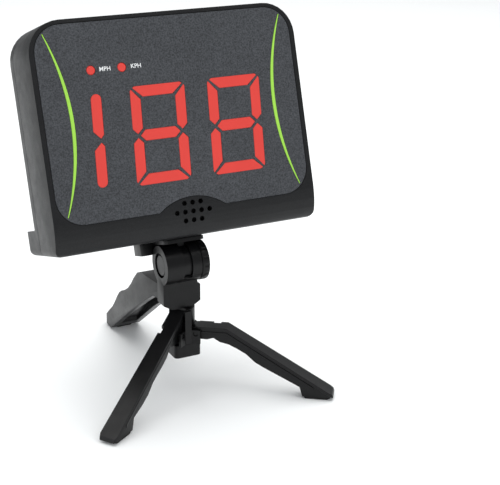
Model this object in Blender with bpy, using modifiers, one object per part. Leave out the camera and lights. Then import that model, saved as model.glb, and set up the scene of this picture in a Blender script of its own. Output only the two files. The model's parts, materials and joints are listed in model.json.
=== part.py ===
"""Hands-free speed radar with a three-digit display, on a pistol-grip mini tripod.

Z is up and the display faces -Y. Sizes are in millimetres where named, and MM turns them
into metres. The tripod stands on its three foot pads; the case leans back on the tilt head.
"""

import bpy
import bmesh
from math import atan2, cos, pi, radians, sin, sqrt, tan
from mathutils import Matrix, Vector

MM = 0.001
GAP = 0.3                    # clearance between pieces that touch
FIT = 0.25                   # clearance round an inlay or a lens in its hole
PANEL_SEAM = 0.45            # clearance round the display panel

# ---- case ----
CASE_WIDTH = 205.0
CASE_HEIGHT = 163.0
CASE_DEPTH = 50.0
WALL = 2.2
FRONT_WALL = 4.4
TOP_CORNER = 24.0
BOTTOM_CORNER = 5.0
SEAM_DEPTH = 41.5            # front shell ends here, rear cover goes on
CHIN_HEIGHT = 26.0           # the front curls back under this height
CHIN_SETBACK = 10.0
FRONT_EDGE = 1.5
BUMP_DEPTH = 20.0            # battery bulge across the foot of the rear cover
BUMP_HEIGHT = 18.5
CASE_SCREW_X = 95.0
CASE_SCREW_Z = (27.0, 134.0)
CASE_SCREW_RADIUS = 1.5
CASE_BOSS_RADIUS = 3.8

# ---- display ----
PANEL_SIDE = 4.0             # frame shown at each side of the panel
PANEL_TOP = 3.2
PANEL_BOTTOM = 20.5
PANEL_CORNER = 20.0
PANEL_THICKNESS = 2.0
PANEL_RECESS = 0.2
WINDOW_SIDE = 8.5
WINDOW_BOTTOM = 36.0
WINDOW_TOP = 7.0
WINDOW_CORNER = 14.0
ARCH_HALF_WIDTH = 26.0
ARCH_RISE = 9.0
DIGIT_WIDTH = 42.0
DIGIT_HEIGHT = 70.0
DIGIT_CENTRE_Z = 77.0
DIGIT_X = (-78.2, -14.5, 45.5)
SEGMENT_WIDTH = 7.6
SEGMENT_GAP = 2.8
DIGIT_SLANT = radians(3.5)
DIGIT_BASE = 1.6
LAMP_RADIUS = 3.2
LAMP_X = (-60.0, -37.0)
LAMP_Z = 126.3
BOARD_THICKNESS = 1.6
STRIPE_END_X = 91.3
STRIPE_MIDDLE_X = 78.5
STRIPE_Z = (26.9, 153.8)
STRIPE_WIDTH = 2.5

# ---- speaker ----
SPEAKER_X = 2.5
SPEAKER_Z = 18.5
SPEAKER_RADIUS = 13.5
SPEAKER_FRONT = 11.0
SPEAKER_DEPTH = 6.0
HOLE_RADIUS = 1.9
HOLE_PITCH = 6.4
HOLE_ROWS = (3, 5, 3)

# ---- electronics ----
MAIN_BOARD = (118.0, 66.0)
MAIN_BOARD_BACK = 22.0
ANTENNA = (40.0, 17.0)
ANTENNA_X = 38.0
ANTENNA_Z = 145.5
SHIELD_DEPTH = 5.0
BUTTON_X = (52.0, 72.0)
BUTTON_Z = 112.0
BUTTON_RADIUS = 4.6
BUTTON_PROUD = 1.4
BUTTON_TRAVEL = 1.0
BUTTON_FLANGE = 1.2
BUTTON_LENGTH = 6.0

# ---- batteries ----
CELL_RADIUS = 6.95
CELL_LENGTH = 49.0
CELL_Z = 9.3
CELL_PITCH = 14.6
BAY_INNER_X = 31.0           # the bays lie either side of the tripod block
BAY_LENGTH = 58.0
BAY_RIB = 1.4
DOOR_THICKNESS = 1.1
DOOR_MARGIN = 1.6

# ---- tilt head ----
AXIS_HEIGHT = 104.0
AXIS_BACK = 31.8             # tilt axis behind the front of the case
AXIS_BELOW = 19.7            # tilt axis below the case
LEAN = radians(18.0)
BARREL_RADIUS = 15.0
BARREL_LEFT = -17.2
BARREL_RIGHT = 10.8
BARREL_WALL = 3.5
DRUM_RADIUS = 13.0
STEM_WIDTH = 5.4
STEM_THICKNESS = 8.0
SLOT_BACK = radians(58.0)
SLOT_FRONT = radians(124.0)
PLATFORM = (32.0, 29.4)
PLATFORM_THICKNESS = 2.6
PAD_THICKNESS = 1.0
CAMERA_SCREW_RADIUS = 3.1
CAMERA_SCREW_RISE = 8.0
INSERT_RADIUS = 4.6
INSERT_LENGTH = 9.5
KNOB_RADIUS = 15.3
KNOB_THICKNESS = 6.1
KNOB_FLUTES = 14
CLAMP_RADIUS = 2.4
CLAMP_HEAD_RADIUS = 8.0
SHELF_WIDTH = 50.0           # wide shelf at the back of the platform, under the case
SHELF_DEPTH = 21.0
SHELF_HEIGHT = 10.6

# ---- tripod ----
NECK_WIDTH = 30.0
NECK_DEPTH = 12.0
NECK_BOTTOM = 69.0
NECK_CHAMFER = 7.0
HUB_TOP = 68.7
HUB_BOTTOM = 41.3
HUB_RADIUS = 12.9
HUB_UPPER_RADIUS = 9.8
HUB_CORE = 6.4
WEB_WIDTH = 5.2
WEB_REACH = 12.2
SLOT_TOP = 55.3
CHEEK_TOP = 53.0             # the lower hub carries the ends of the leg pins
CHEEK_REACH = 15.5
CHEEK_THICKNESS = 1.8
LEG_CLEARANCE = 0.6          # each side of a leg in its slot
CAP_WIDTH = 21.6
CAP_DEPTH = 23.6
CAP_BOTTOM = 30.6
CAP_TOP = 41.0
BOLT_RADIUS = 2.4
LEG_SPREAD = radians(55.5)   # each narrow leg from straight ahead
LEG_PIVOT = (12.0, 49.3)     # distance from the hub's axis, height
LEFT_REACH = 102.5
RIGHT_REACH = 117.5
LEFT_CREST = (5.2, 66.9)     # the left leg's upper face runs straight from the top of the hub
RIGHT_CREST = (35.0, 54.3)   # the right leg's is level as far as here
TIP_HEIGHT = 4.4
LEFT_NOTCH = 19.0            # where the catch for folding starts, from the hub's axis
RIGHT_NOTCH = 24.0
NOTCH_LENGTH = 5.6
NOTCH_DEPTH = 2.4
LEG_THICKNESS = 10.0
LEG_ROOT_WIDTH = 12.2
LEG_TIP_WIDTH = 15.0
LEG_FLANGE = 2.6
LEG_FLANGE_PROUD = 0.9
FOOT_LENGTH = 21.0
FOOT_PAD = 1.3
GRIP_PIVOT = (13.0, 75.5)
GRIP_REACH = 140.0
GRIP_WIDTH = 26.0
GRIP_CHANNEL = 15.0
PIN_RADIUS = 1.6
LUG_WIDTH = 8.0

LEFT_LEG = -pi / 2 - LEG_SPREAD
RIGHT_LEG = -pi / 2 + LEG_SPREAD

for old in list(bpy.data.objects):
    bpy.data.objects.remove(old, do_unlink=True)

scene = bpy.context.scene
part = bpy.data.collections.new("speed_radar")
helpers = bpy.data.collections.new("cutters")
helpers.hide_render = True
scene.collection.children.link(part)
scene.collection.children.link(helpers)


# ---------------------------------------------------------------- materials
def material(name, colour, roughness, metallic=0.0):
    made = bpy.data.materials.new(name)
    made.use_nodes = True
    shader = made.node_tree.nodes["Principled BSDF"]
    shader.inputs["Base Color"].default_value = (*colour, 1.0)
    shader.inputs["Roughness"].default_value = roughness
    shader.inputs["Metallic"].default_value = metallic
    return made


CASE_BLACK = material("case_black", (0.030, 0.032, 0.036), 0.55)
PANEL_BLACK = material("panel_black", (0.055, 0.058, 0.065), 0.50)
TRIPOD_BLACK = material("tripod_black", (0.022, 0.022, 0.024), 0.45)
LED_RED = material("led_red", (0.80, 0.07, 0.05), 0.35)
ACCENT_GREEN = material("accent_green", (0.42, 0.80, 0.12), 0.40)
RUBBER = material("rubber_black", (0.020, 0.020, 0.020), 0.85)
STEEL = material("steel", (0.55, 0.55, 0.57), 0.30, 1.0)
BRASS = material("brass", (0.75, 0.55, 0.25), 0.30, 1.0)
BOARD_GREEN = material("board_green", (0.02, 0.18, 0.08), 0.45)
CONE_PAPER = material("cone_paper", (0.05, 0.05, 0.05), 0.90)
CELL_JACKET = material("cell_jacket", (0.10, 0.12, 0.16), 0.35)


# ---------------------------------------------------------------- frames
def frame(name, parent=None, location=(0, 0, 0), rotation=(0, 0, 0)):
    empty = bpy.data.objects.new(name, None)
    empty.empty_display_size = 0.02
    part.objects.link(empty)
    empty.parent = parent
    empty.location = Vector(location) * MM
    empty.rotation_euler = rotation
    return empty


stand = frame("stand_frame")
tilt = frame("tilt_frame", stand, (0, 0, AXIS_HEIGHT), (-LEAN, 0, 0))
case = frame("case_frame", tilt, (0, -AXIS_BACK, AXIS_BELOW))


# ---------------------------------------------------------------- shape helpers
def place(name, mesh, parent, finish, at=(0, 0, 0)):
    """An object with this mesh, in the part when it has a finish, else a cutter."""
    made = bpy.data.objects.new(name, mesh)
    (part if finish else helpers).objects.link(made)
    made.parent = parent
    made.location = Vector(at) * MM
    if finish:
        mesh.materials.append(finish)
    else:
        made.hide_render = True
        made.display_type = "WIRE"
    return made


def box(name, low, high, parent, finish=None):
    """A box between two corners."""
    low, high = Vector(low), Vector(high)
    shape = bmesh.new()
    bmesh.ops.create_cube(shape, size=1.0)
    bmesh.ops.scale(shape, vec=(high - low) * MM, verts=shape.verts)
    mesh = bpy.data.meshes.new(name)
    shape.to_mesh(mesh)
    shape.free()
    return place(name, mesh, parent, finish, (low + high) / 2)


AXES = {
    "X": Matrix(((0, 0, 1), (1, 0, 0), (0, 1, 0))),    # outline (y, z), along x
    "Y": Matrix(((1, 0, 0), (0, 0, -1), (0, 1, 0))),   # outline (x, z), along y
    "Z": Matrix.Identity(3),                           # outline (x, y), along z
}


def rod(name, radius, low, high, axis, at, parent, finish=None, sides=24):
    """A round bar along an axis, from low to high, at the two other coordinates given."""
    shape = bmesh.new()
    bmesh.ops.create_cone(shape, cap_ends=True, segments=sides, radius1=radius * MM,
                          radius2=radius * MM, depth=(high - low) * MM)
    bmesh.ops.rotate(shape, cent=(0, 0, 0), matrix=AXES[axis], verts=shape.verts)
    mesh = bpy.data.meshes.new(name)
    shape.to_mesh(mesh)
    shape.free()
    mesh.shade_smooth()
    mesh.set_sharp_from_angle(angle=radians(40))
    middle = (low + high) / 2
    spot = {"X": (middle, *at), "Y": (at[0], middle, at[1]), "Z": (*at, middle)}[axis]
    return place(name, mesh, parent, finish, spot)


def slab(name, outlines, low, high, axis, parent, finish=None):
    """A flat outline, with any holes in it, given thickness from low to high along an axis."""
    curve = bpy.data.curves.new(name, "CURVE")
    curve.dimensions = "2D"
    curve.fill_mode = "BOTH"
    curve.extrude = (high - low) / 2 * MM
    for outline in outlines:
        spline = curve.splines.new("POLY")
        spline.points.add(len(outline) - 1)
        for point, (u, v) in zip(spline.points, outline):
            point.co = (u * MM, v * MM, 0, 1)
        spline.use_cyclic_u = True
    guide = bpy.data.objects.new(name + "_outline", curve)
    helpers.objects.link(guide)
    bpy.context.view_layer.update()
    graph = bpy.context.evaluated_depsgraph_get()
    mesh = bpy.data.meshes.new_from_object(guide.evaluated_get(graph))
    bpy.data.objects.remove(guide, do_unlink=True)
    bpy.data.curves.remove(curve)
    shape = bmesh.new()
    shape.from_mesh(mesh)
    bmesh.ops.remove_doubles(shape, verts=shape.verts, dist=1e-6)
    bmesh.ops.rotate(shape, cent=(0, 0, 0), matrix=AXES[axis], verts=shape.verts)
    bmesh.ops.recalc_face_normals(shape, faces=shape.faces)
    if shape.calc_volume(signed=True) < 0:
        bmesh.ops.reverse_faces(shape, faces=shape.faces)
    shape.to_mesh(mesh)
    shape.free()
    mesh.name = name
    mesh.materials.clear()
    middle = (low + high) / 2
    spot = {"X": (middle, 0, 0), "Y": (0, middle, 0), "Z": (0, 0, middle)}[axis]
    return place(name, mesh, parent, finish, spot)


def turned(name, profile, axis, at, parent, finish=None, sides=32):
    """A turned shape. The profile is (radius, height), top to bottom, along an axis."""
    mesh = bpy.data.meshes.new(name)
    points = [(radius * MM, 0, height * MM) for radius, height in profile]
    edges = [(i, i + 1) for i in range(len(points) - 1)]
    mesh.from_pydata(points, edges, [])
    made = place(name, mesh, parent, finish, at)
    made.rotation_euler = AXES[axis].to_euler()
    screw = made.modifiers.new("turn", "SCREW")
    screw.steps = sides
    screw.render_steps = sides
    screw.use_merge_vertices = True
    screw.merge_threshold = 0.00005
    screw.use_smooth_shade = True
    return made


def boolean(target, other, operation):
    step = target.modifiers.new(other.name, "BOOLEAN")
    step.operation = operation
    step.object = other
    step.solver = "EXACT"
    return target


def cut(target, *cutters):
    for cutter in cutters:
        boolean(target, cutter, "DIFFERENCE")
    return target


def join(target, *others):
    for other in others:
        boolean(target, other, "UNION")
    return target


def keep(target, other):
    return boolean(target, other, "INTERSECT")


def soften(target, width, segments=2, angle=40):
    """Round the sharp edges of a piece."""
    bevel = target.modifiers.new("soften", "BEVEL")
    bevel.width = width * MM
    bevel.segments = segments
    bevel.limit_method = "ANGLE"
    bevel.angle_limit = radians(angle)
    return target


# ---------------------------------------------------------------- outlines
def arc(centre, radius, start, end, steps=8, squash=1.0):
    """Points on an arc, angles in degrees."""
    points = []
    for i in range(steps + 1):
        angle = radians(start + (end - start) * i / steps)
        points.append((centre[0] + radius * cos(angle) * squash, centre[1] + radius * sin(angle)))
    return points


def rounded(left, right, bottom, top, low_radius, high_radius, steps=8):
    """An upright rectangle with rounded corners."""
    return (arc((right - low_radius, bottom + low_radius), low_radius, -90, 0, steps)
            + arc((right - high_radius, top - high_radius), high_radius, 0, 90, steps)
            + arc((left + high_radius, top - high_radius), high_radius, 90, 180, steps)
            + arc((left + low_radius, bottom + low_radius), low_radius, 180, 270, steps))


def case_outline(inset):
    half = CASE_WIDTH / 2 - inset
    return rounded(-half, half, inset, CASE_HEIGHT - inset,
                   max(BOTTOM_CORNER - inset, 1.0), TOP_CORNER - inset)


def side_profile(front, skin, back):
    """Side view of the case: the front is flat, and its foot curls back under the chin."""
    chin = [(front + CHIN_SETBACK * (1 - cos(angle)), CHIN_HEIGHT - (CHIN_HEIGHT - skin) * sin(angle))
            for angle in (radians(90 * i / 10) for i in range(11))]
    return [(front, CASE_HEIGHT + 5)] + chin + [(back, skin), (back, CASE_HEIGHT + 5)]


def panel_outline(inset):
    """The display panel: rounded corners, and an arch in its foot over the speaker."""
    half = CASE_WIDTH / 2 - PANEL_SIDE - inset
    bottom, top = PANEL_BOTTOM + inset, CASE_HEIGHT - PANEL_TOP - inset
    radius = PANEL_CORNER - inset
    arch_radius = (ARCH_HALF_WIDTH ** 2 + ARCH_RISE ** 2) / (2 * ARCH_RISE)
    half_angle = 90 - (180 / pi) * atan2(ARCH_HALF_WIDTH, arch_radius - ARCH_RISE)
    arch = arc((SPEAKER_X, PANEL_BOTTOM + ARCH_RISE - arch_radius), arch_radius + inset,
               180 - half_angle, half_angle, 12)
    arch = [(x, max(z, bottom)) for x, z in arch]
    return (arch
            + arc((half - radius, bottom + radius), radius, -90, 0)
            + arc((half - radius, top - radius), radius, 0, 90)
            + arc((radius - half, top - radius), radius, 90, 180)
            + arc((radius - half, bottom + radius), radius, 180, 270))


def stripe_outline(side, grow):
    """A slim crescent between two arcs, bulging towards the middle of the panel."""
    low, high = STRIPE_Z
    half = (high - low) / 2 + grow
    middle = (low + high) / 2
    inner, outer = [], []
    for i in range(25):
        t = -1 + i / 12
        bow = 1 - t * t
        x = STRIPE_END_X - (STRIPE_END_X - STRIPE_MIDDLE_X) * bow
        width = STRIPE_WIDTH * (0.22 + 0.78 * bow) / 2 + grow
        inner.append((side * (x - width), middle + half * t))
        outer.append((side * (x + width), middle + half * t))
    return inner + outer[::-1]


def segment_outlines(letters, grow):
    """The bars of a seven-bar digit about its centre, with mitred ends, leaning to the right."""
    a, b, t = DIGIT_WIDTH / 2, DIGIT_HEIGHT / 2, SEGMENT_WIDTH
    mitre = SEGMENT_GAP * 0.7
    tip = SEGMENT_GAP / 2
    flat = [(-a + mitre + 1.5, b), (a - mitre - 1.5, b), (a - mitre, b - 1.0),
            (a - t - mitre, b - t), (-a + t + mitre, b - t), (-a + mitre, b - 1.0)]
    upright = [(a, b - mitre - 1.5), (a - 0.6, b - mitre), (a - t, b - t - mitre), (a - t, t / 2 + tip),
               (a - t / 2, tip), (a, t / 2 + tip)]
    middle = [(a - t / 2 - mitre, 0), (a - t - mitre, t / 2), (-a + t + mitre, t / 2),
              (-a + t / 2 + mitre, 0), (-a + t + mitre, -t / 2), (a - t - mitre, -t / 2)]
    lone = [(a - t, t * 0.7 + tip), (a - t * 0.3, tip), (a, t * 0.35 + tip)]
    lone += arc((a - t / 2, b - t / 2 - 2.4), t / 2, 0, 180, 8)
    shapes = {
        "top": flat, "bottom": [(x, -z) for x, z in flat], "middle": middle,
        "upper_right": upright, "upper_left": [(-x, z) for x, z in upright],
        "lower_right": [(x, -z) for x, z in upright], "lower_left": [(-x, -z) for x, z in upright],
        "lone_upper": lone, "lone_lower": [(x, -z) for x, z in lone],
    }
    result = []
    for letter in letters:
        points = shapes[letter]
        cx = sum(x for x, z in points) / len(points)
        cz = sum(z for x, z in points) / len(points)
        half_x = max(abs(x - cx) for x, z in points)
        half_z = max(abs(z - cz) for x, z in points)
        grown = [(cx + (x - cx) * (1 + grow / half_x), cz + (z - cz) * (1 + grow / half_z))
                 for x, z in points]
        result.append([(x + z * tan(DIGIT_SLANT), z) for x, z in grown])
    return result


def shifted(outlines, dx, dz):
    return [[(x + dx, z + dz) for x, z in outline] for outline in outlines]


EIGHT = ("top", "bottom", "middle", "upper_right", "upper_left", "lower_right", "lower_left")
ONE = ("lone_upper", "lone_lower")
DIGITS = (("digit_hundreds", ONE), ("digit_tens", EIGHT), ("digit_ones", EIGHT))


def circle(x, z, radius, sides=20):
    return arc((x, z), radius, 0, 360 - 360 / sides, sides - 1)


# ---------------------------------------------------------------- front shell
def speaker_holes():
    """Centres of the speaker's holes, in rows."""
    for row, count in enumerate(HOLE_ROWS):
        z = SPEAKER_Z + HOLE_PITCH * (1 - row)
        for i in range(count):
            yield SPEAKER_X + HOLE_PITCH * (i - (count - 1) / 2), z


def make_front_shell():
    shell = slab("front_shell", [case_outline(0)], 0, SEAM_DEPTH, "Y", case, CASE_BLACK)
    half = CASE_WIDTH
    keep(shell, slab("shell_side", [side_profile(0, 0, CASE_DEPTH)], -half, half, "X", case))
    soften(shell, FRONT_EDGE, 3, 50)
    hollow = slab("shell_hollow", [case_outline(WALL)], FRONT_WALL - 1, SEAM_DEPTH + 5, "Y", case)
    keep(hollow, slab("hollow_side", [side_profile(FRONT_WALL, WALL, CASE_DEPTH + 9)],
                      -half, half, "X", case))
    cut(shell, hollow)
    cut(shell, slab("panel_pocket", [panel_outline(-PANEL_SEAM)], -2,
                    PANEL_RECESS + PANEL_THICKNESS + 0.1, "Y", case))
    edge = CASE_WIDTH / 2 - WINDOW_SIDE
    window = rounded(-edge, edge, WINDOW_BOTTOM, CASE_HEIGHT - WINDOW_TOP, WINDOW_CORNER, WINDOW_CORNER)
    cut(shell, slab("panel_window", [window], -3, FRONT_WALL + 0.5, "Y", case))
    for i, (x, z) in enumerate(speaker_holes()):
        cut(shell, rod(f"speaker_hole_{i}", HOLE_RADIUS, -2, SPEAKER_FRONT + 2, "Y", (x, z), case,
                       sides=12))
    for i, (x, z) in enumerate(case_screw_places()):
        join(shell, rod(f"screw_boss_{i}", CASE_BOSS_RADIUS, FRONT_WALL - 1, SEAM_DEPTH - 1, "Y",
                        (x, z), case, sides=12))
        cut(shell, rod(f"boss_bore_{i}", CASE_SCREW_RADIUS + FIT, FRONT_WALL + 6, SEAM_DEPTH + 2, "Y",
                       (x, z), case, sides=12))
    join(shell, rod("insert_boss", INSERT_RADIUS + 2.5, WALL - 1, INSERT_LENGTH + 3, "Z",
                    (0, AXIS_BACK), case, sides=20))
    cut(shell, rod("insert_bore", INSERT_RADIUS + FIT, -2, INSERT_LENGTH + 0.6, "Z",
                   (0, AXIS_BACK), case, sides=20))


def case_screw_places():
    for z in CASE_SCREW_Z:
        for side in (-1, 1):
            yield side * CASE_SCREW_X, z


# ---------------------------------------------------------------- rear cover
def make_rear_cover():
    front = SEAM_DEPTH + GAP
    back = CASE_DEPTH + BUMP_DEPTH
    cover = slab("rear_cover", [case_outline(0)], front - 6, back, "Y", case, CASE_BLACK)
    half = CASE_WIDTH / 2
    side_view = [(front - 9, -5), (back + 5, -5), (back + 5, BUMP_HEIGHT), (CASE_DEPTH, BUMP_HEIGHT),
                 (CASE_DEPTH, CASE_HEIGHT + 5), (front - 9, CASE_HEIGHT + 5)]
    keep(cover, slab("cover_side", [side_view], -half - 5, half + 5, "X", case))
    soften(cover, 1.2, 2, 50)
    cut(cover, box("cover_seam", (-half - 5, front - 20, -5), (half + 5, front, CASE_HEIGHT + 5), case))
    cut(cover, slab("cover_hollow", [case_outline(WALL)], front - 3, CASE_DEPTH - WALL, "Y", case))
    cut(cover, box("bulge_hollow", (-half + WALL, CASE_DEPTH - 6, WALL),
                   (half - WALL, back - WALL, BUMP_HEIGHT - 1.8), case))
    for side in (-1, 1):
        inner, outer = side * BAY_INNER_X, side * (BAY_INNER_X + BAY_LENGTH)
        for j, x in enumerate((inner, outer)):
            join(cover, box(f"bay_rib_{side}_{j}", (x - BAY_RIB / 2, front + 2, WALL - 1),
                            (x + BAY_RIB / 2, back - WALL + 1, BUMP_HEIGHT - 1), case))
        low = min(inner, outer) + BAY_RIB / 2 + DOOR_MARGIN
        high = max(inner, outer) - BAY_RIB / 2 - DOOR_MARGIN
        cut(cover, box(f"door_opening_{side}", (low - GAP, front + 1.8 - GAP, -3),
                       (high + GAP, back + 3, DOOR_THICKNESS + GAP), case))
        cut(cover, box(f"bay_opening_{side}", (low, front + 4, -2),
                       (high, back - WALL - 1, WALL + 1), case))
    for x in BUTTON_X:
        cut(cover, rod("button_hole", BUTTON_RADIUS + GAP, CASE_DEPTH - 5, CASE_DEPTH + 5, "Y",
                       (x, BUTTON_Z), case, sides=20))
    for i, (x, z) in enumerate(case_screw_places()):
        join(cover, rod(f"cover_post_{i}", CASE_BOSS_RADIUS, front + 0.5, CASE_DEPTH - 1, "Y", (x, z),
                        case, sides=12))
        cut(cover, rod(f"cover_bore_{i}", CASE_SCREW_RADIUS + FIT, front - 2, CASE_DEPTH + 2, "Y",
                       (x, z), case, sides=12))
        cut(cover, rod(f"cover_counterbore_{i}", 3.0, CASE_DEPTH - 2.6, CASE_DEPTH + 2, "Y",
                       (x, z), case, sides=16))


def make_case_screws():
    head = 2.6
    names = ("lower_left", "lower_right", "upper_left", "upper_right")
    for name, (x, z) in zip(names, case_screw_places()):
        top = CASE_DEPTH - 0.5
        seat = CASE_DEPTH - 2.3
        profile = [(0, -(SEAM_DEPTH - 14)), (CASE_SCREW_RADIUS, -(SEAM_DEPTH - 12.5)),
                   (CASE_SCREW_RADIUS, -seat), (head, -seat), (head, -top + 0.4), (head - 0.6, -top),
                   (0, -top)]
        turned("case_screw_" + name, profile, "Y", (x, 0, z), case, STEEL, 14)


# ---------------------------------------------------------------- display
def make_panel():
    holes = []
    for x, (name, bars) in zip(DIGIT_X, DIGITS):
        holes += shifted(segment_outlines(bars, FIT), x, DIGIT_CENTRE_Z)
    for x in LAMP_X:
        holes.append(circle(x, LAMP_Z, LAMP_RADIUS + FIT))
    for side in (-1, 1):
        holes.append(stripe_outline(side, FIT))
    slab("display_panel", [panel_outline(0)] + holes, PANEL_RECESS, PANEL_RECESS + PANEL_THICKNESS,
         "Y", case, PANEL_BLACK)


def make_stripes():
    for side, name in ((-1, "accent_stripe_left"), (1, "accent_stripe_right")):
        slab(name, [stripe_outline(side, 0)], PANEL_RECESS - 0.1, PANEL_RECESS + PANEL_THICKNESS - 0.2,
             "Y", case, ACCENT_GREEN)


def make_digits():
    back = PANEL_RECESS + PANEL_THICKNESS + GAP
    for x, (name, bars) in zip(DIGIT_X, DIGITS):
        left = x - DIGIT_WIDTH / 2 - 2.5
        if bars is ONE:
            left = x + DIGIT_WIDTH / 2 - SEGMENT_WIDTH - 5
        base = box(name, (left, back, DIGIT_CENTRE_Z - DIGIT_HEIGHT / 2 - 2),
                   (x + DIGIT_WIDTH / 2 + 3.5, back + DIGIT_BASE, DIGIT_CENTRE_Z + DIGIT_HEIGHT / 2 + 2),
                   case, LED_RED)
        bars_shape = slab(name + "_bars", shifted(segment_outlines(bars, 0), x, DIGIT_CENTRE_Z),
                          PANEL_RECESS, back + DIGIT_BASE / 2, "Y", case)
        join(base, bars_shape)


def make_lamps():
    back = PANEL_RECESS + PANEL_THICKNESS + GAP
    for x, name in zip(LAMP_X, ("mph_lamp", "kph_lamp")):
        profile = [(0, -PANEL_RECESS), (LAMP_RADIUS - 0.5, -PANEL_RECESS), (LAMP_RADIUS, -PANEL_RECESS - 0.4),
                   (LAMP_RADIUS, -back), (LAMP_RADIUS + 1, -back), (LAMP_RADIUS + 1, -back - DIGIT_BASE),
                   (0, -back - DIGIT_BASE)]
        turned(name, profile, "Y", (x, 0, LAMP_Z), case, LED_RED, 20)


def make_boards():
    front = PANEL_RECESS + PANEL_THICKNESS + GAP + DIGIT_BASE + GAP
    edge = CASE_WIDTH / 2 - WINDOW_SIDE - 3
    slab("display_board", [rounded(-edge, edge, WINDOW_BOTTOM + 2, LAMP_Z + 6, 5, 3, 3)],
         front, front + BOARD_THICKNESS, "Y", case, BOARD_GREEN)
    width, height = MAIN_BOARD
    slab("main_board", [rounded(-width / 2, width / 2, DIGIT_CENTRE_Z - height / 2,
                                DIGIT_CENTRE_Z + height / 2, 3, 3, 3)],
         MAIN_BOARD_BACK - BOARD_THICKNESS, MAIN_BOARD_BACK, "Y", case, BOARD_GREEN)
    width, height = ANTENNA
    slab("antenna_board", [rounded(ANTENNA_X - width / 2, ANTENNA_X + width / 2, ANTENNA_Z - height / 2,
                                   ANTENNA_Z + height / 2, 2, 2, 3)],
         front, front + BOARD_THICKNESS, "Y", case, BOARD_GREEN)
    can_front = front + BOARD_THICKNESS + GAP
    can = box("antenna_shield", (ANTENNA_X - width / 2 + 3, can_front, ANTENNA_Z - height / 2 + 2),
              (ANTENNA_X + width / 2 - 3, can_front + SHIELD_DEPTH, ANTENNA_Z + height / 2 - 2), case, STEEL)
    soften(can, 0.8, 2)
    middle = (BUTTON_X[0] + BUTTON_X[-1]) / 2
    reach = (BUTTON_X[-1] - BUTTON_X[0]) / 2 + BUTTON_RADIUS + 4
    back = CASE_DEPTH - BUTTON_LENGTH - BUTTON_TRAVEL - 2.4
    outline = rounded(middle - reach, middle + reach, BUTTON_Z - 9, BUTTON_Z + 9, 2, 2, 3)
    board = slab("switch_board", [outline], back - BOARD_THICKNESS, back, "Y", case, BOARD_GREEN)
    for x in BUTTON_X:
        join(board, rod("dome_switch", 3.0, back - 0.5, back + 1.8, "Y", (x, BUTTON_Z), case, sides=16))


# ---------------------------------------------------------------- speaker
def make_speaker():
    front, back = SPEAKER_FRONT, SPEAKER_FRONT + SPEAKER_DEPTH
    spot = (SPEAKER_X, 0, SPEAKER_Z)
    rim = SPEAKER_RADIUS
    basket = [(rim - 2.5, -front), (rim, -front), (rim, -front - 1.5), (7.5, -back), (4.6, -back),
              (4.6, -back + 1.2), (6.8, -back + 1.2), (rim - 2.5, -front - 1.8), (rim - 2.5, -front)]
    turned("speaker_basket", basket, "Y", spot, case, STEEL, 28)
    cone = [(0, -front - 2.6), (3.4, -front - 3.4), (rim - 2.9, -front - 0.4), (rim - 2.9, -front - 0.9),
            (3.4, -front - 4.2), (0, -front - 3.4)]
    turned("speaker_cone", cone, "Y", spot, case, CONE_PAPER, 28)
    magnet = [(0, -back - GAP), (7.2, -back - GAP), (7.2, -back - 5), (0, -back - 5)]
    turned("speaker_magnet", magnet, "Y", spot, case, STEEL, 24)


# ---------------------------------------------------------------- buttons
def make_buttons():
    root = CASE_DEPTH - BUTTON_LENGTH
    for x, name in zip(BUTTON_X, ("power_button", "unit_button")):
        profile = [(0, -root), (BUTTON_RADIUS + 1.2, -root), (BUTTON_RADIUS + 1.2, -root - BUTTON_FLANGE),
                   (BUTTON_RADIUS, -root - BUTTON_FLANGE), (BUTTON_RADIUS, -CASE_DEPTH - BUTTON_PROUD + 0.7),
                   (BUTTON_RADIUS - 0.7, -CASE_DEPTH - BUTTON_PROUD), (0, -CASE_DEPTH - BUTTON_PROUD)]
        turned(name, profile, "Y", (x, 0, BUTTON_Z), case, RUBBER, 24)


# ---------------------------------------------------------------- batteries
def cell_rows():
    back = CASE_DEPTH + BUMP_DEPTH - WALL - CELL_RADIUS - 0.8
    return (back - CELL_PITCH, back)


def make_batteries():
    for side, where in ((-1, "left"), (1, "right")):
        inner = side * (BAY_INNER_X + BAY_RIB / 2)
        outer = side * (BAY_INNER_X + BAY_LENGTH - BAY_RIB / 2)
        strip_face = outer - side * 1.2
        low, high = sorted((outer - side * GAP, strip_face))
        rows = cell_rows()
        box(f"contact_strip_{where}", (low, rows[0] - 5, CELL_Z - 4.5),
            (high, rows[1] + 5, CELL_Z + 4.5), case, STEEL)
        for row, y in zip(("front", "rear"), rows):
            end = strip_face - side * GAP
            pip = 1.0
            cell = [(0, pip), (2.6, pip), (2.6, 0), (CELL_RADIUS - 0.5, 0), (CELL_RADIUS, -0.5),
                    (CELL_RADIUS, -CELL_LENGTH + 0.5), (CELL_RADIUS - 0.5, -CELL_LENGTH),
                    (0, -CELL_LENGTH)]
            spot = (end - side * pip, y, CELL_Z)
            made = turned(f"cell_{where}_{row}", cell, "X", spot, case, CELL_JACKET, 20)
            if side < 0:
                made.rotation_euler = (Matrix.Rotation(pi, 3, "Z") @ AXES["X"]).to_euler()
            make_spring(f"spring_{where}_{row}", inner + side * GAP, end - side * (pip + CELL_LENGTH + GAP), y)


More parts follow.
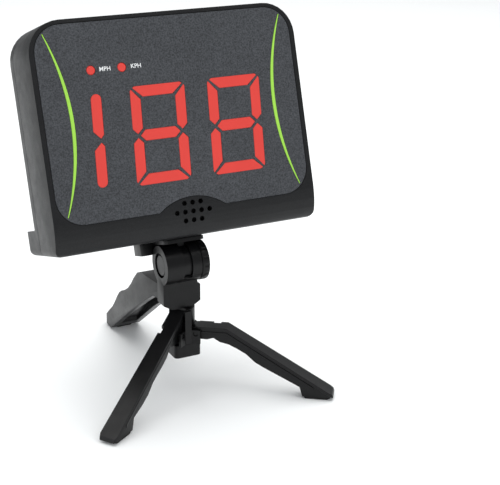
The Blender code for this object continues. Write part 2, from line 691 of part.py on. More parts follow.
def make_spring(name, start, end, y):
    """A small conical coil between the bay's inner rib and the flat end of its cell."""
    turns, steps, wire = 2.5, 12, 0.35
    count = int(turns * steps)
    curve = bpy.data.curves.new(name, "CURVE")
    curve.dimensions = "3D"
    curve.bevel_depth = wire * MM
    curve.bevel_resolution = 1
    curve.use_fill_caps = True
    spline = curve.splines.new("POLY")
    spline.points.add(count)
    run = end - start - (2 * wire if end > start else -2 * wire)
    first = start + (wire if end > start else -wire)
    for i, point in enumerate(spline.points):
        share = i / count
        radius = 4.2 - 1.6 * share
        angle = 2 * pi * turns * share
        point.co = ((first + run * share) * MM, radius * cos(angle) * MM, radius * sin(angle) * MM, 1)
    curve.materials.append(STEEL)
    made = bpy.data.objects.new(name, curve)
    part.objects.link(made)
    made.parent = case
    made.location = Vector((0, y, CELL_Z)) * MM


def make_battery_doors():
    front = SEAM_DEPTH + GAP + 1.8
    back = CASE_DEPTH + BUMP_DEPTH
    for side, where in ((-1, "left"), (1, "right")):
        ends = sorted((side * BAY_INNER_X, side * (BAY_INNER_X + BAY_LENGTH)))
        low = ends[0] + BAY_RIB / 2 + DOOR_MARGIN
        high = ends[1] - BAY_RIB / 2 - DOOR_MARGIN
        door = box(f"battery_door_{where}", (low, front, 0.0), (high, back - 0.4, DOOR_THICKNESS),
                   case, CASE_BLACK)
        soften(door, 0.4, 1)


# ---------------------------------------------------------------- mount under the case
def make_case_mount():
    insert = rod("tripod_insert", INSERT_RADIUS, 0.2, INSERT_LENGTH, "Z", (0, AXIS_BACK), case, BRASS, 20)
    cut(insert, rod("insert_thread", CAMERA_SCREW_RADIUS + GAP, -3, INSERT_LENGTH + 3, "Z",
                    (0, AXIS_BACK), case))


# ---------------------------------------------------------------- tilt head
def make_tilt_stem():
    stem = rod("tilt_stem", DRUM_RADIUS, BARREL_LEFT + BARREL_WALL + 1, BARREL_RIGHT - GAP, "X", (0, 0),
               tilt, TRIPOD_BLACK, 36)
    top = AXIS_BELOW - GAP - PAD_THICKNESS - 0.1
    join(stem, box("stem_neck", (-STEM_WIDTH / 2, -STEM_THICKNESS / 2, DRUM_RADIUS - 3),
                   (STEM_WIDTH / 2, STEM_THICKNESS / 2, top - 1), tilt))
    width, depth = PLATFORM
    plate = slab("platform_plate", [rounded(-width / 2, width / 2, -depth / 2, depth / 2, 5, 5, 4)],
                 top - PLATFORM_THICKNESS, top, "Z", tilt)
    join(stem, plate)
    front, reach = depth / 2 - 1, SHELF_WIDTH / 2
    shelf = slab("shelf", [rounded(-reach, reach, front, front + SHELF_DEPTH, 3, 6, 4)],
                 top - SHELF_HEIGHT, top - 0.05, "Z", tilt)
    join(stem, soften(shelf, 1.0, 2))
    cut(stem, rod("clamp_bore", CLAMP_RADIUS + GAP, -30, 30, "X", (0, 0), tilt, sides=16))
    seat = top - PLATFORM_THICKNESS + 0.6
    cut(stem, rod("screw_seat", CAMERA_SCREW_RADIUS + GAP, seat, 30, "Z", (0, 0), tilt))
    slab("rubber_pad", [rounded(-width / 2 + 1, width / 2 - 1, -depth / 2 + 1, depth / 2 - 1, 4, 4, 4),
                        circle(0, 0, CAMERA_SCREW_RADIUS + 1)],
         top + 0.1, top + 0.1 + PAD_THICKNESS, "Z", tilt, RUBBER)
    low = top - PLATFORM_THICKNESS + 0.8
    screw = [(0, AXIS_BELOW + CAMERA_SCREW_RISE), (CAMERA_SCREW_RADIUS - 0.8, AXIS_BELOW + CAMERA_SCREW_RISE),
             (CAMERA_SCREW_RADIUS, AXIS_BELOW + CAMERA_SCREW_RISE - 0.8), (CAMERA_SCREW_RADIUS, low), (0, low)]
    turned("camera_screw", screw, "Z", (0, 0, 0), tilt, STEEL, 24)


def make_tilt_housing():
    """The barrel round the drum, on the neck that the grip leg is hinged to."""
    axis = (0, AXIS_HEIGHT)
    housing = rod("tilt_housing", BARREL_RADIUS, BARREL_LEFT, BARREL_RIGHT, "X", axis, stand,
                  TRIPOD_BLACK, 40)
    top = AXIS_HEIGHT - 4
    left, right, clear = BARREL_LEFT, BARREL_LEFT + NECK_WIDTH, AXIS_HEIGHT - KNOB_RADIUS
    neck = slab("neck", [[(left, top), (left, NECK_BOTTOM + NECK_CHAMFER * 0.6), (left + NECK_CHAMFER, NECK_BOTTOM),
                          (right - NECK_CHAMFER, NECK_BOTTOM), (right, NECK_BOTTOM + NECK_CHAMFER * 0.6),
                          (right, clear - 2.2), (BARREL_RIGHT - 0.4, clear - 0.8), (BARREL_RIGHT - 0.4, top)]],
                -NECK_DEPTH / 2, NECK_DEPTH / 2, "Y", stand)
    join(housing, neck)
    y, z = GRIP_PIVOT
    lug = [(0, z - 5), (0, z + 5)] + arc((y, z), 5.0, 90, -90, 8)
    join(housing, slab("grip_lug", [lug], -LUG_WIDTH / 2, LUG_WIDTH / 2, "X", stand))
    bore = DRUM_RADIUS + GAP
    inside = BARREL_LEFT + BARREL_WALL + 0.7
    cut(housing, rod("drum_bore", bore, inside, BARREL_RIGHT + 5, "X", axis, stand, sides=36))
    cut(housing, rod("head_recess", 9.5, BARREL_LEFT - 2, BARREL_LEFT + 2.4, "X", axis, stand, sides=28))
    hole = CLAMP_RADIUS + GAP
    cut(housing, rod("clamp_hole", hole, BARREL_LEFT - 3, BARREL_LEFT + 8, "X", axis, stand, sides=16))
    reach = BARREL_RADIUS + 8
    wedge = [(0, AXIS_HEIGHT)]
    for i in range(17):
        angle = -SLOT_BACK + (SLOT_BACK + SLOT_FRONT) * i / 16
        wedge.append((-reach * sin(angle), AXIS_HEIGHT + reach * cos(angle)))
    slot = STEM_WIDTH / 2 + 2 * GAP
    cut(housing, slab("stem_slot", [wedge], -slot, slot, "X", stand))
    cut(housing, rod("grip_pin_hole", PIN_RADIUS + GAP, -20, 20, "X", GRIP_PIVOT, stand, sides=14))
    hole = BOLT_RADIUS + GAP
    cut(housing, rod("hub_bolt_hole", hole, NECK_BOTTOM - 3, NECK_BOTTOM + 11, "Z", (0, 0), stand, sides=16))


def make_clamp():
    axis = (0, AXIS_HEIGHT)
    start = BARREL_RIGHT + GAP
    end = start + KNOB_THICKNESS
    knob = rod("clamp_knob", KNOB_RADIUS, start, end, "X", axis, stand, TRIPOD_BLACK, 48)
    soften(knob, 0.9, 2, 50)
    for i in range(KNOB_FLUTES):
        angle = 2 * pi * i / KNOB_FLUTES
        spot = ((KNOB_RADIUS + 0.5) * cos(angle), AXIS_HEIGHT + (KNOB_RADIUS + 0.5) * sin(angle))
        cut(knob, rod(f"flute_{i}", 1.2, start + 1.4, end + 2, "X", spot, stand, sides=10))
    cut(knob, rod("knob_bore", CLAMP_RADIUS + GAP, start - 2, end - 1.8, "X", axis, stand, sides=16))
    floor = BARREL_LEFT + 2.4 - GAP
    screw = [(0, end - 2.4), (CLAMP_RADIUS, end - 2.4), (CLAMP_RADIUS, floor), (CLAMP_HEAD_RADIUS, floor),
             (CLAMP_HEAD_RADIUS, floor - 0.9), (CLAMP_HEAD_RADIUS - 0.5, floor - 1.4), (0, floor - 1.4)]
    turned("clamp_screw", screw, "X", (0, 0, AXIS_HEIGHT), stand, TRIPOD_BLACK, 28)


# ---------------------------------------------------------------- hub
def leg_block(name, heading, low, high):
    """A box laid along a leg's heading: outwards, to its left, and up."""
    shape = box(name, low, high, stand)
    middle = (Vector(low) + Vector(high)) / 2
    shape.location = Matrix.Rotation(heading, 3, "Z") @ middle * MM
    shape.rotation_euler = (0, 0, heading)
    return shape


def make_hub():
    hub = rod("hub", HUB_RADIUS, HUB_BOTTOM, CHEEK_TOP, "Z", (0, 0), stand, TRIPOD_BLACK, 36)
    cut(hub, box("hub_front", (-30, -30, HUB_BOTTOM - 5), (30, -6.0, CHEEK_TOP + 5), stand))
    join(hub, rod("hub_upper", HUB_UPPER_RADIUS, CHEEK_TOP - 1, HUB_TOP, "Z", (0, 0), stand, sides=32))
    join(hub, rod("hub_core", HUB_CORE, HUB_BOTTOM, SLOT_TOP + 3, "Z", (0, 0), stand, sides=24))
    web = WEB_WIDTH / 2
    join(hub, box("hub_web", (-web, -WEB_REACH, HUB_BOTTOM), (web, 0, HUB_TOP - 0.6), stand))
    r, z = LEG_PIVOT
    inner = r - LEG_THICKNESS / 2 - 0.6
    wall = LEG_ROOT_WIDTH / 2 + LEG_CLEARANCE
    legs = (("left", LEFT_LEG, 1), ("right", RIGHT_LEG, -1))
    for name, heading, front in legs:
        near, far = sorted((front * (wall - 0.2), front * (wall + CHEEK_THICKNESS)))
        low, high = (5, near, HUB_BOTTOM), (CHEEK_REACH, far, CHEEK_TOP - 0.7)
        join(hub, leg_block(f"cheek_{name}", heading, low, high))
    for name, heading, front in legs:
        low, high = (inner, -wall, HUB_BOTTOM - 5), (inner + 30, wall, SLOT_TOP)
        cut(hub, leg_block(f"leg_slot_{name}", heading, low, high))
    crest, step = LEFT_CREST[0] - 0.8, SLOT_TOP + 3.2
    cut(hub, leg_block("crest_slot", LEFT_LEG, (crest, -wall, step), (crest + 30, wall, HUB_TOP + 5)))
    cut(hub, leg_block("root_slot", LEFT_LEG, (inner, -wall, SLOT_TOP - 1), (inner + 30, wall, step + 0.8)))
    for name, heading, front in legs:
        bore = rod(f"pin_bore_{name}", PIN_RADIUS + GAP, -20, 20, "X", (0, 0), stand, sides=14)
        bore.location = Vector((r * cos(heading), r * sin(heading), z)) * MM
        bore.rotation_euler = (0, 0, heading - pi / 2)
        cut(hub, bore)
    cut(hub, rod("hub_bore", BOLT_RADIUS + GAP, HUB_BOTTOM - 5, HUB_TOP + 5, "Z", (0, 0), stand, sides=16))


def make_base_cap():
    across, along = CAP_WIDTH / 2, CAP_DEPTH / 2
    base = slab("base_cap", [rounded(-across, across, -along, along, 3, 3, 4)], CAP_BOTTOM, CAP_TOP, "Z",
                stand, TRIPOD_BLACK)
    soften(base, 1.6, 3, 60)
    cut(base, rod("cap_bore", BOLT_RADIUS + GAP, CAP_BOTTOM - 5, CAP_TOP + 5, "Z", (0, 0), stand, sides=16))
    cut(base, rod("cap_counterbore", 4.4, CAP_BOTTOM - 5, CAP_BOTTOM + 3.4, "Z", (0, 0), stand, sides=20))
    top = NECK_BOTTOM + 9
    bolt = [(0, top), (BOLT_RADIUS, top - 0.6), (BOLT_RADIUS, CAP_BOTTOM + 3.1), (4.1, CAP_BOTTOM + 3.1),
            (4.1, CAP_BOTTOM + 0.8), (0, CAP_BOTTOM + 0.8)]
    turned("hub_bolt", bolt, "Z", (0, 0, 0), stand, STEEL, 20)


# ---------------------------------------------------------------- narrow legs
def leg_line(r, offset, crest, reach):
    """Height of the leg's upper face at a distance from the hub's axis, less an offset down."""
    slope = (crest[1] - TIP_HEIGHT) / (reach - crest[0])
    return crest[1] - max(0.0, r - crest[0]) * slope - offset


def leg_section(crest, reach):
    """Side view of a narrow leg, open: from its root over the crest, then down to the foot."""
    r, z = LEG_PIVOT
    half = LEG_THICKNESS / 2
    under = LEG_THICKNESS + 1.6
    floor = FOOT_PAD + GAP
    heel = reach - FOOT_LENGTH
    top = [crest, (reach - 0.8, leg_line(reach - 0.8, 0, crest, reach)),
           (reach, leg_line(reach, 1.2, crest, reach))]
    foot = [(reach - 2.6, floor), (heel - 2.6, floor),
            (heel - 5.0, leg_line(heel - 5.0, under - 1, crest, reach))]
    wave = [(64, under + 1.6), (57, under + 1.8), (50, under - 0.4), (44, under - 0.2), (37, under + 0.6),
            (30, under + 0.2)]
    below = [(x, leg_line(x, drop, crest, reach)) for x, drop in wave]
    below += [(25, z - half + 1.2), (20, z - half - 0.4)]
    if crest[0] > r:
        root = arc((r, z), half, 270, 90, 8)
    else:
        root = arc((r, z), half, 270, 180, 4) + [(r - half, SLOT_TOP + 2.4), (crest[0], SLOT_TOP + 5.6)]
    return top + foot + below + root


def across(width, reach):
    """Plan view of a narrow leg, which widens from its root to its tip."""
    r = LEG_PIVOT[0]
    root, tip = LEG_ROOT_WIDTH / 2 + width, LEG_TIP_WIDTH / 2 + width
    return [(r - 8, -root), (r + 6, -root), (reach - 3, -tip), (reach + 3, -tip + 2.5),
            (reach + 3, tip - 2.5), (reach - 3, tip), (r + 6, root), (r - 8, root)]


def leg_rail(crest, reach, high, low, tip):
    """Side view of a lengthwise rail on a leg, between two offsets below its upper face."""
    start = min(crest[0], LEG_PIVOT[0] + 1)
    floor = FOOT_PAD + GAP + 0.1
    over = [(start, high), (tip - 0.8, high), (tip, high + 1.2)]
    under = [(tip, low + 1.4), (tip - 1.4, low), (start, low)]
    if crest[0] > start:
        over.insert(1, (crest[0], high))
        under.insert(2, (crest[0], low))
    return [(x, max(leg_line(x, drop, crest, reach), floor)) for x, drop in over + under]


def make_narrow_leg(name, heading, crest, reach, notch, notch_side):
    """The leg is drawn along +Y and turned to its heading, with a flange and a rail along its sides."""
    r, z = LEG_PIVOT
    hinge = frame(name + "_hinge", stand, (r * cos(heading), r * sin(heading), z), (0, 0, heading - pi / 2))
    wide = LEG_TIP_WIDTH
    side_view = [(y - r, v - z) for y, v in leg_section(crest, reach)]
    leg = slab(name, [side_view], -wide, wide, "X", hinge, TRIPOD_BLACK)
    plan = [(v, u - r) for u, v in across(-LEG_FLANGE_PROUD, reach)]
    keep(leg, slab(name + "_plan", [plan], -90, 30, "Z", hinge))
    rails = (("flange", 0.0, LEG_FLANGE, 0.0, reach),
             ("rail", LEG_FLANGE + 1.1, LEG_FLANGE + 2.5, -0.4, reach - 15))
    for rail, high, low, grow, tip in rails:
        view = [(y - r, v - z) for y, v in leg_rail(crest, reach, high, low, tip)]
        strip = slab(f"{name}_{rail}", [view], -wide, wide, "X", hinge)
        plan = [(v, u - r) for u, v in across(grow, reach)]
        keep(strip, slab(f"{name}_{rail}_plan", [plan], -90, 30, "Z", hinge))
        join(leg, strip)
    soften(leg, 0.5, 1, 45)
    half = LEG_ROOT_WIDTH / 2
    side = notch_side * half
    low, high = sorted((side - notch_side * NOTCH_DEPTH, side + notch_side * 4))
    cut(leg, box(name + "_notch", (low, notch - r, 3.0), (high, notch + NOTCH_LENGTH - r, 16), hinge))
    cut(leg, rod(name + "_pin_hole", PIN_RADIUS + GAP, -12, 12, "X", (0, 0), hinge, sides=14))
    pin = rod(name + "_pin", PIN_RADIUS, -half - 1.6, half + 1.6, "X", (0, 0), hinge, TRIPOD_BLACK, 14)
    pad_low, pad_high = reach - FOOT_LENGTH - 1.6 - r, reach - 3.4 - r
    pad_half = LEG_TIP_WIDTH / 2 - 1.6
    pad = slab(name + "_pad", [rounded(-pad_half, pad_half, pad_low, pad_high, 2, 2, 3)], -z, FOOT_PAD - z, "Z",
               hinge, RUBBER)
    return pin, pad


# ---------------------------------------------------------------- grip leg
def grip_section():
    """Side view of the wide grip leg, open, with two finger hollows along its upper side."""
    r, z = GRIP_PIVOT
    root = arc((r, z), 6.0, 270, 90, 8)
    floor = FOOT_PAD + GAP
    crest = [(40, 80.5), (50, 79.8), (58, 76.5), (66, 69.0), (73, 61.0), (80, 54.8), (87, 50.4), (94, 47.2),
             (100, 43.4), (106, 37.0), (112, 29.6), (118, 23.2), (125, 17.6), (132, 11.6), (138, 6.0)]
    tip = [(GRIP_REACH, 3.6), (GRIP_REACH - 1.6, floor), (GRIP_REACH - 17, floor)]
    below = [(93, 23.5), (76, 36.0), (44, 57.5), (27, 68.4)]
    return root + crest + tip + below


def make_grip_leg():
    y, z = GRIP_PIVOT
    hinge = frame("grip_leg_hinge", stand, (0, y, z))
    outline = [(u - y, v - z) for u, v in grip_section()]
    half = GRIP_WIDTH / 2
    leg = slab("grip_leg", [outline], -half, half, "X", hinge, TRIPOD_BLACK)
    tip = GRIP_REACH - y
    plan = [(-half + 2.5, -9), (half - 2.5, -9), (half, 24), (half, tip - 7), (half - 2, tip - 2),
            (half - 6, tip + 1), (-half + 6, tip + 1), (-half + 2, tip - 2), (-half, tip - 7), (-half, 24)]
    keep(leg, slab("grip_plan", [plan], -90, 30, "Z", hinge))
    soften(leg, 2.2, 3, 50)
    cut(leg, box("lug_slot", (-LUG_WIDTH / 2 - GAP, -12, -12), (LUG_WIDTH / 2 + GAP, 7.6, 12), hinge))
    channel = [(12, -14), (12, -3), (30, -4), (46, -12), (64, -31), (84, -50), (100, -63), (100, -80), (60, -70)]
    cut(leg, slab("grip_channel", [channel], -GRIP_CHANNEL / 2, GRIP_CHANNEL / 2, "X", hinge))
    cut(leg, rod("grip_leg_pin_hole", PIN_RADIUS + GAP, -20, 20, "X", (0, 0), hinge, sides=14))
    rod("grip_leg_pin", PIN_RADIUS, -half + 3.2, half - 3.2, "X", (0, 0), hinge, STEEL, 14)
    pad_half = half - 6
    slab("grip_leg_pad", [rounded(-pad_half, pad_half, GRIP_REACH - 15.5 - y, GRIP_REACH - 3.4 - y, 2, 4, 3)],
         -z, FOOT_PAD - z, "Z", hinge, RUBBER)


make_front_shell()
make_rear_cover()
make_case_screws()
make_panel()
make_stripes()
make_digits()
make_lamps()
make_boards()
make_speaker()
make_buttons()
make_batteries()
make_battery_doors()
make_case_mount()
make_tilt_stem()
make_tilt_housing()
make_clamp()
make_hub()
make_base_cap()
make_narrow_leg("left_leg", LEFT_LEG, LEFT_CREST, LEFT_REACH, LEFT_NOTCH, 1)
make_narrow_leg("right_leg", RIGHT_LEG, RIGHT_CREST, RIGHT_REACH, RIGHT_NOTCH, -1)
make_grip_leg()


def centre_on_base():
    """Moves the whole object so that its origin is the middle of its footprint, on the ground."""
    bpy.context.view_layer.update()
    graph = bpy.context.evaluated_depsgraph_get()
    spots = []
    for piece in part.objects:
        if piece.type != "EMPTY":
            seen = piece.evaluated_get(graph)
            spots += [seen.matrix_world @ vertex.co for vertex in seen.to_mesh().vertices]
            seen.to_mesh_clear()
    for i in (0, 1):
        stand.location[i] = -(min(spot[i] for spot in spots) + max(spot[i] for spot in spots)) / 2


centre_on_base()
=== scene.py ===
"""The speed radar: what shows of it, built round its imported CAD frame, in a plain pale studio."""

import json
from math import cos, pi, radians, sin

import bmesh
import bpy
from mathutils import Matrix, Vector


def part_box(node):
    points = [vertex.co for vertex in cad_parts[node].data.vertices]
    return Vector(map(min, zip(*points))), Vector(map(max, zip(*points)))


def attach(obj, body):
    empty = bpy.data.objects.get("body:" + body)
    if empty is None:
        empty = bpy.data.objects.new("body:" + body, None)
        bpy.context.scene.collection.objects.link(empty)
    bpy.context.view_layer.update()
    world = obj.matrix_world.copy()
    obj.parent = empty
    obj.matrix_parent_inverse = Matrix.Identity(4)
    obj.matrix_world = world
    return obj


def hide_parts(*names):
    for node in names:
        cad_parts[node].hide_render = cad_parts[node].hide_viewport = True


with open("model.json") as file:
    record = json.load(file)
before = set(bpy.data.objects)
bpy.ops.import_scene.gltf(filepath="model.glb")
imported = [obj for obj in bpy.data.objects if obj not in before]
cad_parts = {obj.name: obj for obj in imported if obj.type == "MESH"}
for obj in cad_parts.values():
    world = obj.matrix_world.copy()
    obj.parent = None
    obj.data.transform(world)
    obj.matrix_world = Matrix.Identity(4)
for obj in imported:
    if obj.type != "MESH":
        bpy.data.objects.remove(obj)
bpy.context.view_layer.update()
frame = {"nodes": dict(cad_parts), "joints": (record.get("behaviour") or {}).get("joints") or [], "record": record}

MM = 0.001
JOINTS = {joint["name"]: joint for joint in frame["joints"]}

# ---- the case's own directions: X across, back into the case, up along its front ----
ACROSS = Vector((1, 0, 0))
UP = Vector(JOINTS["case_turn"]["axis"]).normalized()
BACK = -Vector(JOINTS["power_press"]["axis"]).normalized()
TILT_AXIS = Vector(JOINTS["case_tilt"]["pos_m"])
AXIS_BACK = 31.8             # tilt axis behind the front of the case
AXIS_BELOW = 19.7            # tilt axis below the case
CASE_ORIGIN = TILT_AXIS + (UP * AXIS_BELOW - BACK * AXIS_BACK) * MM

# ---- finishing of the CAD shapes ----
WELD = 0.004                 # points this close are one
FLAT_ANGLE = radians(0.4)    # faces this nearly in one plane are one face
CORNER_ANGLE = radians(32)   # sharper corners are broken, gentler ones shade smooth

# ---- screw heads on the rear cover ----
SCREW_HEAD_RADIUS = 2.3
SCREW_HEAD_HEIGHT = 0.55
CROSS_REACH = 1.35
CROSS_DEPTH = 0.75
CROSS_WIDTH = 0.22           # half the width of each arm, as a share of its reach
CROSS_MOUTH = 1.05           # the recess is this much wider at its mouth
CROSS_PIT = 0.8              # and narrows to this share at its foot
SCREW_RIM = 0.35             # straight side, as a share of the height
SCREW_SHOULDER = (0.86, 0.85)    # where the dome turns over, as shares of radius and height
SCREW_CORNER_ANGLE = radians(35)
SCREW_STEPS = 48
SCREW_LIFT = 0.05            # clear of the screw underneath

# ---- printed labels ----
LABEL_HEIGHT = 3.1
LABEL_Z = 126.3              # level with the lamps
LABEL_FRONT = 0.17           # behind the front of the case, just proud of the panel
LABEL_THICKNESS = 0.02       # each side of the middle
LABEL_WEIGHT = 0.045         # thickens the strokes
FONT_PER_CAPITAL = 1.38      # font size for a capital one high
LABELS = (("label_mph", "MPH", -53.9), ("label_kph", "KPH", -30.4))

# ---- camera: in front and to the left, looking down at the display ----
CAMERA_HEADING = radians(26.81)
CAMERA_PITCH = radians(20.91)
CAMERA_ROLL = radians(0.46)
CAMERA_LENS = 89.5
CAMERA_SENSOR = 36.0
CAMERA_FROM_HUB = (-0.3438, -0.7942, 0.4502)


def on_case(x, y, z):
    """A point in the case's own millimetres, as a place in the frame."""
    return CASE_ORIGIN + (ACROSS * x + BACK * y + UP * z) * MM


# ---------------------------------------------------------------- materials
CLOUD_SCALE = 38.0           # soft mottling of the colour
WEAR_SCALE = 95.0            # patches of more and less shine


def tree_of(name):
    """A new node material, with its nodes, its links and its Principled shader."""
    made = bpy.data.materials.new(name)
    made.use_nodes = True
    nodes = made.node_tree.nodes
    return made, nodes, made.node_tree.links, nodes["Principled BSDF"]


def noise(nodes, links, place, scale, detail, rough):
    """A noise that is fixed to the piece, scale cells to the metre."""
    made = nodes.new("ShaderNodeTexNoise")
    made.inputs["Scale"].default_value = scale
    made.inputs["Detail"].default_value = detail
    made.inputs["Roughness"].default_value = rough
    links.new(place.outputs["Object"], made.inputs["Vector"])
    return made


def ramp(nodes, links, source, low, high, start=0.3, end=0.7):
    """Spreads a noise between two colours, or two greys."""
    made = nodes.new("ShaderNodeValToRGB")
    for element, position, tone in zip(made.color_ramp.elements, (start, end), (low, high)):
        element.position = position
        element.color = (*tone, 1) if isinstance(tone, tuple) else (tone, tone, tone, 1)
    links.new(source, made.inputs["Fac"])
    return made


def moulded(name, colour, roughness, grain=2200.0, depth=0.00003, mottle=0.12, strength=0.5,
            specular=0.5, metallic=0.0, scuff=0.06, speckle=0.0):
    """Moulded plastic or metal: fine grain in the bump, and in the colour where it is speckled,
    with soft mottling in the colour and the roughness."""
    made, nodes, links, shader = tree_of(name)
    place = nodes.new("ShaderNodeTexCoord")
    cloud = noise(nodes, links, place, CLOUD_SCALE, detail=5.0, rough=0.6)
    darker = tuple(c * (1 - mottle) for c in colour)
    lighter = tuple(min(1.0, c * (1 + mottle)) for c in colour)
    tone = ramp(nodes, links, cloud.outputs["Fac"], darker, lighter)
    fine = noise(nodes, links, place, grain, detail=2.0, rough=0.6)
    if speckle:
        flecks = ramp(nodes, links, fine.outputs["Fac"], 1 - speckle, 1 + speckle, start=0.35, end=0.65)
        blend = nodes.new("ShaderNodeMix")
        blend.data_type = "RGBA"
        blend.blend_type = "MULTIPLY"
        blend.inputs[0].default_value = 1.0
        links.new(tone.outputs["Color"], blend.inputs[6])
        links.new(flecks.outputs["Color"], blend.inputs[7])
        links.new(blend.outputs[2], shader.inputs["Base Color"])
    else:
        links.new(tone.outputs["Color"], shader.inputs["Base Color"])
    wear = noise(nodes, links, place, WEAR_SCALE, detail=6.0, rough=0.65)
    shine = ramp(nodes, links, wear.outputs["Fac"], roughness - scuff, roughness + scuff)
    links.new(shine.outputs["Color"], shader.inputs["Roughness"])
    bump = nodes.new("ShaderNodeBump")
    bump.inputs["Strength"].default_value = strength
    bump.inputs["Distance"].default_value = depth
    links.new(fine.outputs["Fac"], bump.inputs["Height"])
    links.new(bump.outputs["Normal"], shader.inputs["Normal"])
    shader.inputs["Metallic"].default_value = metallic
    shader.inputs["Specular IOR Level"].default_value = specular
    return made


def glowing(name, colour, glow, strength):
    """A smooth finish that gives off a little light: on the LED lenses this is real lamp light, while on the green
    accent stripes, which are no lamp, the emission is a painted glow.
    """
    made = moulded(name, colour, 0.35, grain=900.0, depth=0.00001, mottle=0.04, strength=0.2)
    shader = made.node_tree.nodes["Principled BSDF"]
    shader.inputs["Emission Color"].default_value = (*glow, 1)
    shader.inputs["Emission Strength"].default_value = strength
    return made


LOOKS = {
    "case": moulded("case_plastic", (0.0066, 0.0070, 0.0078), 0.44, grain=1500.0, depth=0.00006,
                    strength=0.8, specular=0.29, speckle=0.35),
    "panel": moulded("panel_plastic", (0.045, 0.048, 0.0535), 0.50, grain=900.0, depth=0.00007,
                     strength=0.9, mottle=0.10, specular=0.32, speckle=0.42),
    "tripod": moulded("tripod_plastic", (0.0034, 0.0034, 0.0038), 0.35, grain=1900.0,
                      depth=0.00003, strength=0.6, specular=0.25, speckle=0.3),
    "red": glowing("led_diffuser", (0.52, 0.034, 0.026), (0.80, 0.065, 0.048), 0.17),
    # The green accent stripes keep their own green colour; the small emission on top of it is a painted glow,
    # since the stripes are no lamp.
    "green": glowing("accent_green", (0.30, 0.60, 0.065), (0.36, 0.78, 0.06), 0.04),
    "rubber": moulded("rubber", (0.010, 0.010, 0.010), 0.82, grain=2600.0, depth=0.00005,
                      strength=0.8, specular=0.3),
    "steel": moulded("plated_steel", (0.62, 0.62, 0.64), 0.28, grain=3000.0, depth=0.00001,
                     metallic=1.0),
    "brass": moulded("turned_brass", (0.78, 0.57, 0.26), 0.26, grain=3000.0, depth=0.00001,
                     metallic=1.0),
    "board": moulded("solder_mask", (0.02, 0.16, 0.07), 0.38, grain=1300.0, depth=0.00002),
    "paper": moulded("cone_paper", (0.03, 0.03, 0.03), 0.9, grain=1600.0, depth=0.00005,
                     strength=0.8),
    "sleeve": moulded("cell_sleeve", (0.08, 0.10, 0.14), 0.32, grain=1500.0, depth=0.00001),
    "ink": moulded("white_ink", (0.80, 0.81, 0.82), 0.45, grain=2600.0, depth=0.00001, mottle=0.03),
}
SLOT_LOOK = {
    "case_black": "case", "panel_black": "panel", "tripod_black": "tripod", "led_red": "red",
    "accent_green": "green", "rubber_black": "rubber", "steel": "steel", "brass": "brass",
    "board_green": "board", "cone_paper": "paper", "cell_jacket": "sleeve",
}
SLOT_OF = {entry["node"]: entry["material_slot"] for entry in frame["record"]["subparts"]}
BODY_OF = {
    node: body
    for body, nodes in frame["record"]["behaviour"]["bodies"].items()
    for node in nodes
}


# ---------------------------------------------------------------- pieces made from the CAD shapes
def add(name, mesh, body, look):
    """A new piece with this mesh and finish, riding on a body."""
    made = bpy.data.objects.new(name, mesh)
    bpy.context.scene.collection.objects.link(made)
    mesh.materials.clear()
    mesh.materials.append(LOOKS[look])
    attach(made, body)
    return made


def refine(node, radius):
    """Stands for a CAD node with the same shape, its edges broken and its curves shaded smooth."""
    source = frame["nodes"][node].data
    shape = bmesh.new()
    shape.from_mesh(source)
    bmesh.ops.remove_doubles(shape, verts=shape.verts, dist=WELD * MM)
    bmesh.ops.dissolve_limit(shape, angle_limit=FLAT_ANGLE, verts=shape.verts, edges=shape.edges)
    mesh = bpy.data.meshes.new(node + "_finish")
    shape.to_mesh(mesh)
    shape.free()
    slot = SLOT_OF[node]
    made = add(node + "_finish", mesh, BODY_OF[node], SLOT_LOOK[slot])
    if radius:
        bevel = made.modifiers.new("edges", "BEVEL")
        bevel.width = radius * MM
        bevel.segments = 2
        bevel.limit_method = "ANGLE"
        bevel.angle_limit = CORNER_ANGLE
        bevel.miter_outer = "MITER_ARC"
        bevel.harden_normals = True
    mesh.shade_smooth()
    mesh.set_sharp_from_angle(angle=CORNER_ANGLE)
    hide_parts(node)


# How far each node's edges are broken, in millimetres. A node that isn't here is hidden or plain.
EDGE_RADIUS = {
    "front_shell": 0.5, "rear_cover": 0.6, "display_panel": 0.0, "tilt_housing": 0.4,
    "tilt_stem": 0.4, "clamp_knob": 0.3, "hub": 0.35, "base_cap": 0.0, "left_leg": 0.35,
    "right_leg": 0.35, "grip_leg": 0.4, "rubber_pad": 0.2, "left_leg_pad": 0.2,
    "right_leg_pad": 0.2, "grip_leg_pad": 0.2, "digit_hundreds": 0.12, "digit_tens": 0.12,
    "digit_ones": 0.12, "accent_stripe_left": 0.0, "accent_stripe_right": 0.0,
    "battery_door_left": 0.15, "battery_door_right": 0.15, "power_button": 0.0,
    "unit_button": 0.0, "mph_lamp": 0.0, "kph_lamp": 0.0, "clamp_screw": 0.0,
}

for node in SLOT_OF:
    frame["nodes"][node].data.materials.clear()
    frame["nodes"][node].data.materials.append(LOOKS[SLOT_LOOK[SLOT_OF[node]]])

for node, radius in EDGE_RADIUS.items():
    refine(node, radius)


